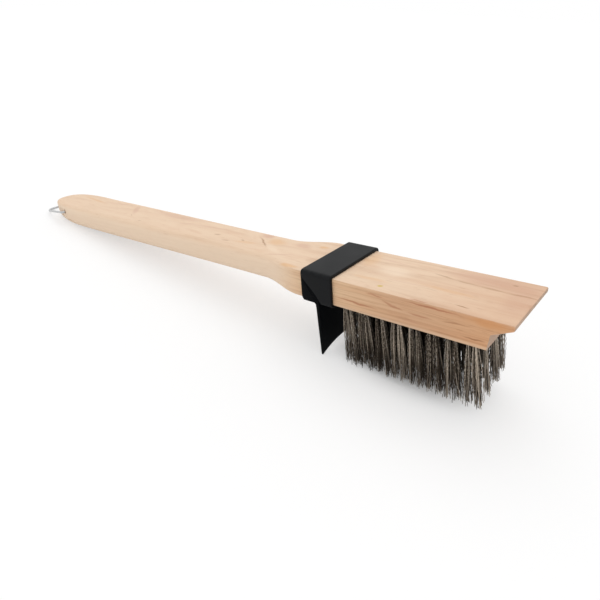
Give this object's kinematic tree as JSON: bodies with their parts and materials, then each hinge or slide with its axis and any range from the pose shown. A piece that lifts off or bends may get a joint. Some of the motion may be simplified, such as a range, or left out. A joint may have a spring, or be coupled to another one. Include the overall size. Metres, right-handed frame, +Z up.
{
  "type": "grill brush",
  "caption": "Long-handled wooden grill brush with steel bristle tufts, a wedge nose, a black collar with a scraper blade and a swinging wire hang loop.",
  "frame": {"origin": "on the floor under the middle of the box of the brush, lying on its blade's corners, its rearmost bristles and its handle's end", "axes": "+X along the brush towards the nose of the head, +Y across it, +Z up"},
  "size_m": [0.5024, 0.0586, 0.0737],
  "materials": {
    "pale_wood": "sanded, unvarnished",
    "black_plastic": "satin",
    "bristle_steel": "drawn wire",
    "loop_steel": "bright drawn wire",
    "screw_steel": "zinc plated"
  },
  "bodies": {
    "brush": {"wooden_board": "pale_wood", "collar": "black_plastic", "scraper": "black_plastic", "scraper_screw_1": "screw_steel", "scraper_screw_2": "screw_steel", "tuft_r1_c1": "bristle_steel", "tuft_r1_c2": "bristle_steel", "tuft_r1_c3": "bristle_steel", "tuft_r1_c4": "bristle_steel", "tuft_r1_c5": "bristle_steel", "tuft_r1_c6": "bristle_steel", "tuft_r1_c7": "bristle_steel", "tuft_r1_c8": "bristle_steel", "tuft_r2_c1": "bristle_steel", "tuft_r2_c2": "bristle_steel", "tuft_r2_c3": "bristle_steel", "tuft_r2_c4": "bristle_steel", "tuft_r2_c5": "bristle_steel", "tuft_r2_c6": "bristle_steel", "tuft_r2_c7": "bristle_steel", "tuft_r2_c8": "bristle_steel", "tuft_r3_c1": "bristle_steel", "tuft_r3_c2": "bristle_steel", "tuft_r3_c3": "bristle_steel", "tuft_r3_c4": "bristle_steel", "tuft_r3_c5": "bristle_steel", "tuft_r3_c6": "bristle_steel", "tuft_r3_c7": "bristle_steel", "tuft_r3_c8": "bristle_steel", "tuft_r4_c1": "bristle_steel", "tuft_r4_c2": "bristle_steel", "tuft_r4_c3": "bristle_steel", "tuft_r4_c4": "bristle_steel", "tuft_r4_c5": "bristle_steel", "tuft_r4_c6": "bristle_steel", "tuft_r4_c7": "bristle_steel", "tuft_r4_c8": "bristle_steel"},
    "loop": {"hang_loop": "loop_steel"}
  },
  "joints": [
    {"name": "hang_loop_swing", "type": "hinge", "parent": "brush", "child": "loop", "pos_m": [-0.20263, 0, 0.01301], "axis": [0, 1, 0], "range_deg": [-105, 145]}
  ]
}
